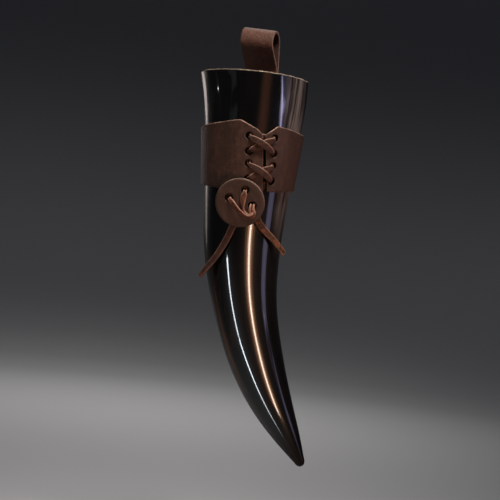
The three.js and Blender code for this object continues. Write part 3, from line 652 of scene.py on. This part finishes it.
def brass_finish():
    """Aged brass, brighter where it is rubbed."""
    f = Finish("aged_brass")
    here = f.place()
    tarnish = f.noise(here, scale=420, detail=4, roughness=0.6)
    scratches = f.noise(f.drawn_out(here, 0.08), scale=2600, detail=2, roughness=0.5)
    return f.surface(
        Base_Color=f.mix(tarnish.between(0.35, 0.65), BRASS_BRIGHT, BRASS_TARNISHED),
        Roughness=0.26 + 0.3 * tarnish,
        Metallic=1.0,
        Normal=f.bump(scratches + tarnish, distance=0.03 * MM, strength=0.4),
    )


def studio_finish(floor):
    """Plain paper, pale on the floor and greyer up the wall."""
    f = Finish("studio_paper")
    height = f.part(f.place(), "Z") - floor
    paper = f.mix(height.between(0.0, COVE_RADIUS), PAPER_FLOOR, PAPER_WALL)
    return f.surface(Base_Color=paper, Roughness=0.9, Specular_IOR_Level=0.1)


HORN = horn_finish()
BAND_LEATHER = leather_finish(
    "band_leather", tone=(0.037, 0.0172, 0.0117), flesh=LEATHER_FLESH,
    edge_wear=0.95, sheen=0.14, pore_scale=1300, grain_depth=0.26 * MM,
)
STRAP_LEATHER = leather_finish(
    "strap_leather", tone=(0.07, 0.0265, 0.0158), flesh=STRAP_FLESH_AND_SHADE,
    edge_wear=0.7, sheen=0.2, pore_scale=1100, grain_depth=0.42 * MM,
)
LOCK_LEATHER = leather_finish(
    "lock_leather", tone=(0.0335, 0.0168, 0.0118), flesh=LEATHER_FLESH,
    edge_wear=0.6, sheen=0.2, pore_scale=1300, grain_depth=0.26 * MM,
)
# One lace in two tones: darker on the band and its left tail as painted shade, paler on the lock as painted
# light
SHADED_LACE_LEATHER = lace_finish("shaded_lace", tone=(0.039, 0.0138, 0.0081), pale=(0.22, 0.112, 0.074), nap=0.6)
LIT_LOCK_LACE = lace_finish("lit_lock_lace", tone=(0.108, 0.0395, 0.0238), pale=(0.3, 0.158, 0.107), nap=0.6)
ROUGH_LACE = lace_finish("rough_lace", tone=(0.088, 0.0325, 0.0142), pale=(0.24, 0.115, 0.065), nap=1.0)
BRASS = brass_finish()


def finish_piece(piece, material, slot, body, *nodes):
    """Gives a piece its material, the body that carries it and the nodes that it stands for."""
    piece.data.materials.clear()
    piece.data.materials.append(material)
    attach(piece, body)
    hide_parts(*nodes)


# Horn

def straightened(co):
    """Each point's place if the horn's bend were straightened: across, back and along from the mouth."""
    x = co[:, 0] - HORN_AXIS.x
    drop = HORN_MOUTH - co[:, 2]
    side = HORN_BEND_RADIUS - x
    below = drop - HORN_STRAIGHT
    turn = np.clip(np.arctan2(below, side), 0, HORN_BEND_ANGLE)
    past = below * np.cos(turn) - (side * np.sin(turn))
    across = HORN_BEND_RADIUS - (side * np.cos(turn) + below * np.sin(turn))
    along = HORN_STRAIGHT + HORN_BEND_RADIUS * turn + past
    return np.stack([across, co[:, 1] - HORN_AXIS.y, along], axis=1)


def polish_by_hand(piece):
    """Leaves the slight unevenness of hand polish on the horn, most of it near the mouth."""
    co = points_of(piece)
    normal = normals_of(piece)
    for i, (across, back, along) in enumerate(straightened(co)):
        ripple = noise.noise(Vector((across / RIPPLE_ROUND, back / RIPPLE_ROUND, along / RIPPLE_ALONG)))
        near_mouth = 1 - smoothstep(along / RIPPLE_FADES)
        co[i] += normal[i] * ripple * (RIPPLE_BELOW + (RIPPLE_AT_MOUTH - RIPPLE_BELOW) * near_mouth)
    move_points(piece, co)


def make_horn():
    """The horn, smoothed and polished, with its bore and its straightened places marked for its finish."""
    piece = copy_of("horn", "polished_horn")
    to_quads(piece)
    smooth_out(piece, 2)
    polish_by_hand(piece)
    shade(piece)
    flat = straightened(points_of(piece))
    ahead = straightened(points_of(piece) + BORE_PROBE * normals_of(piece))
    outward = dots((ahead - flat)[:, :2], unit(flat[:, :2]))
    mark(piece, "straight", flat)
    mark(piece, "bore", outward < 0)
    finish_piece(piece, HORN, "horn", "horn", "horn")


# Leather pieces

def from_axis(co):
    """The level way from the horn's axis to each point."""
    return co[:, :2] - np.array(HORN_AXIS)


def make_band(lace):
    """The laced band, with its holes painted dark and the leather round them darkened where the points of the
    lace go through it: painted shade, with some grime.
    """
    piece = copy_of("holder_band", "laced_band")
    round_edges(piece, BAND_VOXEL, BAND_ROUNDING)
    co = points_of(piece)
    outward = np.zeros_like(co)
    outward[:, :2] = unit(from_axis(co))
    reach = np.linalg.norm(from_axis(co), axis=1)
    faces_out = dots(normals_of(piece), outward) > FACES_OUT
    front = faces_out & (co[:, 1] < HORN_AXIS.y - BAND_FRONT)
    outer_face = np.polyfit(co[front, 2], reach[front], 1)
    depth = np.polyval(outer_face, lace[:, 2]) - np.linalg.norm(from_axis(lace), axis=1)
    mark_leather(piece, outward, 1, lace[(depth > 0) & (depth < LEATHER)])
    finish_piece(piece, BAND_LEATHER, "leather", "holder", "holder_band")


def flat_axis(piece):
    """The direction square to a flat piece, towards the front."""
    co = points_of(piece)
    axis = np.linalg.eigh(np.cov((co - co.mean(0)).T))[1][:, 0]
    return axis if axis[1] < 0 else -axis


def make_lock(strands):
    """The disc that locks the lace, with its holes painted dark and the leather round them darkened where the
    points of the strands go through it: painted shade, with some grime.
    """
    piece = copy_of("lace_lock", "lace_lock_disc")
    round_edges(piece, LOCK_VOXEL, LOCK_ROUNDING)
    axis = flat_axis(piece)
    height = (strands - points_of(piece).mean(0)) @ axis
    outward = np.tile(axis, (len(piece.data.vertices), 1))
    mark_leather(piece, outward, 0, strands[abs(height) < LOCK_HOLE_REACH])
    finish_piece(piece, LOCK_LEATHER, "leather", "lock", "lace_lock")


def strap_back():
    """The direction that the strap's back faces where it is riveted to the band, and a place on that face."""
    hip = next(m for m in frame["record"]["mounts"] if m["name"] == "hip_face")
    return Vector(hip["axis"]), Vector(hip["pos_m"])


def strap_line():
    """Stations along the strap, from the foot of its front leg over the loop to the foot of its back leg.

    Each is the middle of the leather, the direction that its grain side faces and the direction across it.
    """
    outside, face = strap_back()
    level = Vector((outside.x, outside.y, 0)).normalized()
    lean = -outside.z / outside.dot(level)
    middle = face - outside * (LEATHER + STRAP_GAP / 2)
    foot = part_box("belt_loop")[0].z
    twist = math.atan2(-level.x, level.y)
    leg_offset = (LEATHER + STRAP_GAP) / 2
    loop_offset = (LOOP_DEPTH - LEATHER) / 2
    crown = LEATHER / 2 - loop_offset
    closing = Vector((LOOP_LEAN, LOOP_SET_BACK, 0))
    span = LOOP_CLOSE - STRAP_LEAVES_BAND

    def between_legs(z):
        """The middle between the two legs at a height: straight on the band, then swept back to the loop."""
        on_band = middle.xy.to_3d() + level * (lean * (min(z, STRAP_LEAVES_BAND) - middle.z))
        t = min(max((z - STRAP_LEAVES_BAND) / span, 0), 1)
        leaving = (1 - t) ** 2
        upright = max(z - LOOP_CLOSE, 0) / (crown - LOOP_CLOSE)
        at = on_band * ((1 + 2 * t) * leaving) + level * (lean * span * t * leaving)
        return at + closing * smoothstep(t) - Vector((LOOP_LEAN * upright, 0, 0))

    def station(z, offset, rise=0.0, tip=0.0):
        """One station: offset is out from between the legs, and tip turns the grain side up from the back."""
        turn = twist * (1 - smoothstep((z - STRAP_TURN_START) / (LOOP_CLOSE - STRAP_TURN_START)))
        out = Vector((-math.sin(turn), math.cos(turn), 0))
        at = between_legs(z) + out * offset + UP * (z + rise)
        tilt = math.tan(LOOP_TILT) * smoothstep((z - LOOP_CLOSE) / (crown - LOOP_CLOSE))
        return at, out * math.cos(tip) + UP * math.sin(tip), (out.cross(UP) - UP * tilt).normalized()

    def leg(side, tip):
        """The stations of one leg from its foot to the crown, -1 for the front leg and 1 for the back one."""
        heights = np.linspace(foot, LOOP_CLOSE, LEG_STATIONS)
        stations = [station(z, side * leg_offset, tip=tip) for z in heights]
        wide = side * loop_offset - LOOP_SET_BACK
        for share in np.linspace(0, 1, SIDE_STATIONS)[1:]:
            offset = side * leg_offset + (wide - side * leg_offset) * smoothstep(share)
            stations.append(station(LOOP_CLOSE + (crown - LOOP_CLOSE) * share, offset, tip=tip))
        return stations

    arc = []
    for tip in np.linspace(math.pi, 0, CROWN_STATIONS)[1:-1]:
        offset = loop_offset * math.cos(tip) - LOOP_SET_BACK
        arc.append(station(crown, offset, loop_offset * math.sin(tip), tip))
    return leg(-1, math.pi) + arc + leg(1, 0)[::-1]


def make_strap():
    """The belt loop: a flat grid with rounded ends, folded along its line and thickened to leather."""
    line = strap_line()
    bpy.ops.mesh.primitive_grid_add(x_subdivisions=STRAP_COLUMNS, y_subdivisions=len(line) - 1, size=1)
    piece = added("belt_strap")
    flat = points_of(piece)
    steps = [(after[0] - before[0]).length for before, after in zip(line, line[1:])]
    run = np.concatenate([[0], np.cumsum(steps)])
    co = np.empty_like(flat)
    outward = np.empty_like(flat)
    for i, (u, v, _) in enumerate(flat):
        k = round((v + 0.5) * (len(line) - 1))
        at, out, across = line[k]
        from_end = min(run[k], run[-1] - run[k])
        corner = 1 - STRAP_END_NARROWS * max(0, 1 - from_end / STRAP_END_ROUND) ** 2
        co[i] = at + across * (STRAP_WIDTH * u * corner)
        outward[i] = out
    move_points(piece, co)
    mark(piece, "outward", outward)
    face_outwards(piece)
    modify(piece, "SOLIDIFY", thickness=LEATHER, offset=0)
    square = math.radians(60)
    modify(piece, "BEVEL", width=STRAP_EDGE_ROUND, segments=3, limit_method="ANGLE", angle_limit=square)
    smooth_out(piece, 1)
    shade(piece)
    mark_leather(piece, unit(marked(piece, "outward")), 1)
    finish_piece(piece, STRAP_LEATHER, "leather", "holder", "belt_loop")


# Lace

def mark_thong(piece):
    """Marks a lace's narrow edges by how sharply the surface turns there, painted paler where they face up.
    """
    co = points_of(piece)
    normal = normals_of(piece)
    first, second = edges_of(piece)
    way = co[second] - co[first]
    turn = dots(normal[second] - normal[first], way) / np.maximum(dots(way, way), TINY)
    bend = np.zeros(len(co))
    np.maximum.at(bend, first, turn)
    np.maximum.at(bend, second, turn)
    soft, sharp = LACE_EDGE_RADIUS
    mark(piece, "cut", fade(bend, 1 / soft, 1 / sharp) * rubbed(piece, LACE_RUB, LACE_RUB_LEAST))


def make_thong(node, name):
    """A lace from its plain solid: its flat sides cut into strips, then rounded."""
    piece = copy_of(node, name)
    to_quads(piece)
    with editing(piece, "EDGE"):
        bpy.ops.mesh.select_all(action="DESELECT")
    co = points_of(piece)
    first, second = edges_of(piece)
    length = np.linalg.norm(co[second] - co[first], axis=1)
    piece.data.edges.foreach_set("select", length > LACE_LONG_EDGE)
    with editing(piece, "EDGE", everything=False):
        bpy.ops.mesh.subdivide(number_cuts=1)
    smooth_out(piece, 2)
    shade(piece)
    mark_thong(piece)
    return piece


def make_laces():
    """The laced thong and the two strands on the lock. Returns the points of each group."""
    lace = make_thong("lace", "laced_thong")
    lace.data.materials.append(SHADED_LACE_LEATHER)
    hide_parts("lace")
    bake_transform(lace)
    strands = []
    for node, name in (("lock_lace_left", "lock_thong_left"), ("lock_lace_top", "lock_thong_top")):
        piece = make_thong(node, name)
        finish_piece(piece, LIT_LOCK_LACE, "lace", "lock", node)
        strands.append(points_of(piece))
    return points_of(lace), np.concatenate(strands)


def make_tails():
    """The two free ends of the lace."""
    tails = (
        ("lace_tail_left", "tail_left", TAIL_LEFT_ROUTE, TAIL_LEFT_LENGTH, SHADED_LACE_LEATHER),
        ("lace_tail_right", "tail_right", TAIL_RIGHT_ROUTE, TAIL_RIGHT_LENGTH, ROUGH_LACE),
    )
    for node, name, route, length, leather in tails:
        piece = make_thong(node, name)
        finish_piece(piece, leather, "lace", "lock", node)


# Rivets

def turned(name, profile, sides):
    """A piece turned about Z: a filled ring, then rings drawn out from it, each a radius and a height."""
    (reach, height), *rings = profile
    bpy.ops.object.select_all(action="DESELECT")
    bpy.ops.mesh.primitive_circle_add(vertices=sides, radius=reach, fill_type="NGON", location=(0, 0, height))
    piece = added(name)
    settle(piece)
    with editing(piece, "EDGE"):
        for ring_reach, ring_height in rings:
            wider = ring_reach / reach
            bpy.ops.mesh.extrude_edges_move()
            bpy.ops.transform.resize(value=(wider, wider, 1), center_override=(0, 0, 0))
            bpy.ops.transform.translate(value=(0, 0, ring_height - height))
            reach, height = ring_reach, ring_height
    return piece


def make_cap(name, radius, height):
    """A domed rivet cap with a rolled rim, that stands on the origin."""
    profile = [(CAP_SOCKET, CAP_SOCKET_DEPTH * height), (CAP_SOCKET, 0.0)]
    profile += [(reach * radius, rise * height) for reach, rise in CAP_OUTLINE]
    cap = turned(name, profile, CAP_SIDES)
    with editing(cap):
        bpy.ops.mesh.select_all(action="DESELECT")
        bpy.ops.mesh.select_non_manifold()
        bpy.ops.mesh.edge_face_add()
    return cap


def make_rivets():
    """Brass posts, and a cap on each, at the back of the strap."""
    outside, _ = strap_back()
    across = outside.cross(UP).normalized()
    axes = np.array([across, outside.cross(across), outside])
    for place in ("upper", "lower"):
        post = frame["nodes"][f"{place}_rivet_post"]
        post.data.materials.clear()
        post.data.materials.append(BRASS)
        solid = points_of(frame["nodes"][f"{place}_rivet_cap"]) @ axes.T
        low, high = solid.min(0), solid.max(0)
        base = axes.T @ np.array([(low[0] + high[0]) / 2, (low[1] + high[1]) / 2, low[2]])
        cap = make_cap(f"{place}_cap", (high[0] - low[0]) / 2, high[2] - low[2])
        cap.matrix_world = Matrix.Translation(Vector(base)) @ Matrix(axes.T.tolist()).to_4x4()
        settle(cap)
        face_outwards(cap)
        smooth_out(cap, 1)
        shade(cap, CAP_CREASE)
        finish_piece(cap, BRASS, "rivet", "holder", f"{place}_rivet_cap")


# Studio

def make_studio():
    """A round floor that curves up into a wall."""
    floor_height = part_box("horn")[0].z - FLOOR_BELOW_TIP
    profile = [(FLOOR_RADIUS, 0.0)]
    for step in range(1, COVE_STEPS + 1):
        turn = math.radians(90 * step / COVE_STEPS)
        profile.append((FLOOR_RADIUS + COVE_RADIUS * math.sin(turn), COVE_RADIUS * (1 - math.cos(turn))))
    profile.append((FLOOR_RADIUS + COVE_RADIUS, COVE_RADIUS + WALL_HEIGHT))
    floor = turned("studio_floor", profile, STUDIO_SIDES)
    floor.location = (HORN_AXIS.x, HORN_AXIS.y, floor_height)
    settle(floor)
    shade(floor)
    floor.data.materials.append(studio_finish(floor_height))


def studio_place(azimuth, distance, height):
    """A place by its azimuth in degrees, its distance from the horn's axis and its height."""
    return HORN_AXIS.to_3d() + direction(azimuth) * distance + UP * height


def lamp(name, top, foot, aim, width, beam, glow, colour):
    """A flat lamp between two places, turned to face a third, each given as studio_place takes it.

    beam is the angle that its light fans out by, in degrees, and glow its brightness as the polished horn
    reflects it.
    """
    top, foot, aim = studio_place(*top), studio_place(*foot), studio_place(*aim)
    along = (top - foot).normalized()
    toward = aim - (top + foot) / 2
    away = (along * toward.dot(along) - toward).normalized()
    half = math.radians(beam) / 2
    data = bpy.data.lights.new(name, "AREA")
    data.shape = "RECTANGLE"
    data.size = width
    data.size_y = (top - foot).length
    data.spread = 2 * half
    data.color = colour
    data.energy = glow * math.pi * data.size * data.size_y * (1 - half / math.tan(half))
    light = bpy.data.objects.new(name, data)
    turn = Matrix((along.cross(away), along, away)).transposed().to_4x4()
    light.matrix_world = Matrix.Translation((top + foot) / 2) @ turn
    light.visible_camera = False
    bpy.context.scene.collection.objects.link(light)


def light_world():
    """A faint even light from all round."""
    world = bpy.data.worlds.new("studio")
    world.use_nodes = True
    background = next(n for n in world.node_tree.nodes if n.type == "BACKGROUND")
    background.inputs["Color"].default_value = WORLD_LIGHT
    background.inputs["Strength"].default_value = WORLD_STRENGTH
    bpy.context.scene.world = world


def light_leather():
    """Soft light on the leather and the floor."""
    lamp("key", top=(35, 0.32, 0.582), foot=(35, 0.47, 0.488), aim=(0, 0, -0.1),
         width=0.18, beam=60, glow=118, colour=WHITE_LIGHT)
    lamp("fill", top=(-48, 1.2, 0.75), foot=(-48, 1.4, 0.35), aim=(0, 0, -0.12),
         width=0.5, beam=50, glow=9, colour=WHITE_LIGHT)
    lamp("back", top=(190, 0.29, 0.6), foot=(190, 0.5, 0.47), aim=(0, 0, -0.1),
         width=0.25, beam=60, glow=12, colour=WHITE_LIGHT)
    lamp("floor", top=(183, 1.15, 1.0), foot=(227, 1.15, 1.0), aim=(205, 1.15, -0.4),
         width=0.5, beam=60, glow=12, colour=WHITE_LIGHT)


def light_front_lines():
    """The cool and the warm line that the lower half of the horn reflects."""
    lamp("cool_upper", top=(-25.9, 0.2, -0.2065), foot=(-20, 0.2, -0.272), aim=(0, 0, -0.19),
         width=0.013, beam=50, glow=80, colour=COOL_LIGHT)
    lamp("cool_lower", top=(-19.5, 0.2, -0.274), foot=(16.5, 0.2, -0.41), aim=(0, 0, -0.26),
         width=0.0115, beam=50, glow=80, colour=COOL_LIGHT)
    warm = {"top": (37, 0.3, -0.165), "foot": (41.4, 0.3, -0.29), "aim": (0, 0, -0.22)}
    lamp("warm_core", **warm, width=0.028, beam=80, glow=42, colour=WARM_LIGHT)
    lamp("warm_glow", **warm, width=0.074, beam=120, glow=10, colour=AMBER_LIGHT)
    lamp("warm_haze", **warm, width=0.14, beam=120, glow=2.0, colour=HAZE_LIGHT)


def light_side_lines():
    """The lavender line on the horn's right, the pale one on its left edge and the glint near its mouth."""
    lamp("side_core", top=(79, 0.6, 0.06), foot=(85, 0.6, -0.12), aim=(0, 0, -0.05),
         width=0.035, beam=24, glow=15, colour=LAVENDER_LIGHT)
    lamp("side_glow", top=(77, 0.6, 0.06), foot=(85, 0.6, -0.12), aim=(0, 0, -0.05),
         width=0.09, beam=26, glow=5.6, colour=LAVENDER_LIGHT)
    lamp("side_haze", top=(80, 0.6, 0.06), foot=(87, 0.6, -0.12), aim=(0, 0, -0.05),
         width=0.19, beam=30, glow=1.8, colour=LAVENDER_LIGHT)
    lower = {"top": (86, 0.6, -0.122), "foot": (96, 0.6, -0.32), "aim": (0, 0, -0.19)}
    lamp("side_lower", **lower, width=0.07, beam=120, glow=2.6, colour=LAVENDER_LIGHT)
    lamp("side_dusk", **lower, width=0.16, beam=120, glow=2.2, colour=LAVENDER_LIGHT)
    lamp("left_rim", top=(-131, 0.6, 0.0), foot=(-119.5, 0.59, -0.122), aim=(0, 0, -0.13),
         width=0.08, beam=120, glow=4.8, colour=RIM_LIGHT)
    lamp("left_edge", top=(-119.5, 0.59, -0.122), foot=(-112.5, 0.59, -0.207), aim=(0, 0, -0.13),
         width=0.08, beam=120, glow=2.1, colour=EDGE_LIGHT)
    lamp("spark", top=(-61, 0.13, -0.0618), foot=(-61, 0.13, -0.0634), aim=(0, 0, -0.053),
         width=0.008, beam=60, glow=60, colour=WHITE_LIGHT)
    lamp("left_soft", top=(-31, 0.6, 0.02), foot=(-31, 0.6, -0.12), aim=(0, 0, -0.08),
         width=0.14, beam=60, glow=0.25, colour=COOL_LIGHT)


make_camera()
make_tails()
make_horn()
lace_points, strand_points = make_laces()
make_band(lace_points)
make_lock(strand_points)
make_strap()
make_rivets()
make_studio()
light_world()
light_leather()
light_front_lines()
light_side_lines()
bpy.context.scene.view_settings.view_transform = "Standard"
